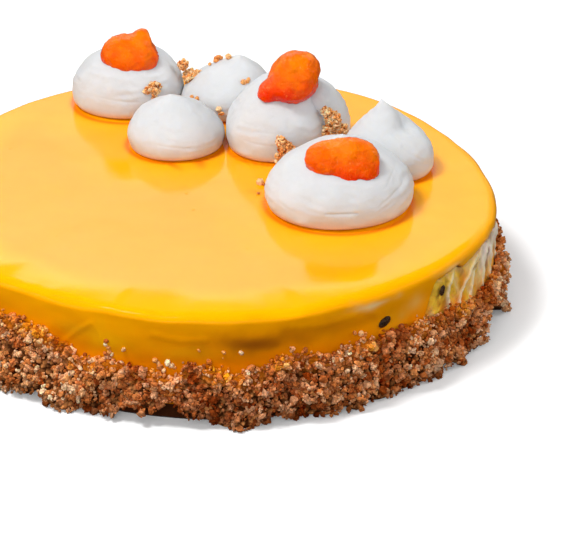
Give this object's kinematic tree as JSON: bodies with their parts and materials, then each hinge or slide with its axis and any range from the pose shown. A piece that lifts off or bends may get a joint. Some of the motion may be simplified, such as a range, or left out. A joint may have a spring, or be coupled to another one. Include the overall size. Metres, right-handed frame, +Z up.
{
  "type": "coconut mango cake",
  "caption": "Round low mousse cake with a glossy mango glaze over its top and side, a band of biscuit crumbs round the foot, piped cream dollops on top and pieces of orange fruit.",
  "frame": {"origin": "middle of the flat underside of the cake", "axes": "+Z up; +Y towards the back, so that the front of the cake faces -Y; +X to the right seen from the front"},
  "size_m": [0.2365, 0.2374, 0.0848],
  "materials": {
    "mousse": "pale coconut mousse, moist and matt, with faint vertical folds",
    "glaze": "wet, mirror-smooth yellow mango glaze, slightly see-through",
    "crumb": "dry golden-brown biscuit crumbs, from pale tan to dark brown",
    "cream": "soft white whipped cream, satin, with faint ridges from the nozzle",
    "fruit": "glossy, syrupy orange fruit, slightly see-through"
  },
  "bodies": {
    "root": {"mousse": "mousse", "mango_glaze": "glaze", "crumb_band": "crumb", "cream_dollop_1": "cream", "cream_dollop_2": "cream", "cream_dollop_3": "cream", "cream_dollop_4": "cream", "cream_dollop_5": "cream", "cream_dollop_6": "cream", "cream_dollop_7": "cream", "fruit_piece_1": "fruit", "fruit_piece_2": "fruit", "fruit_piece_3": "fruit", "crumb_clump_1": "crumb", "crumb_clump_2": "crumb", "crumb_clump_3": "crumb", "crumb_clump_4": "crumb"}
  },
  "joints": []
}
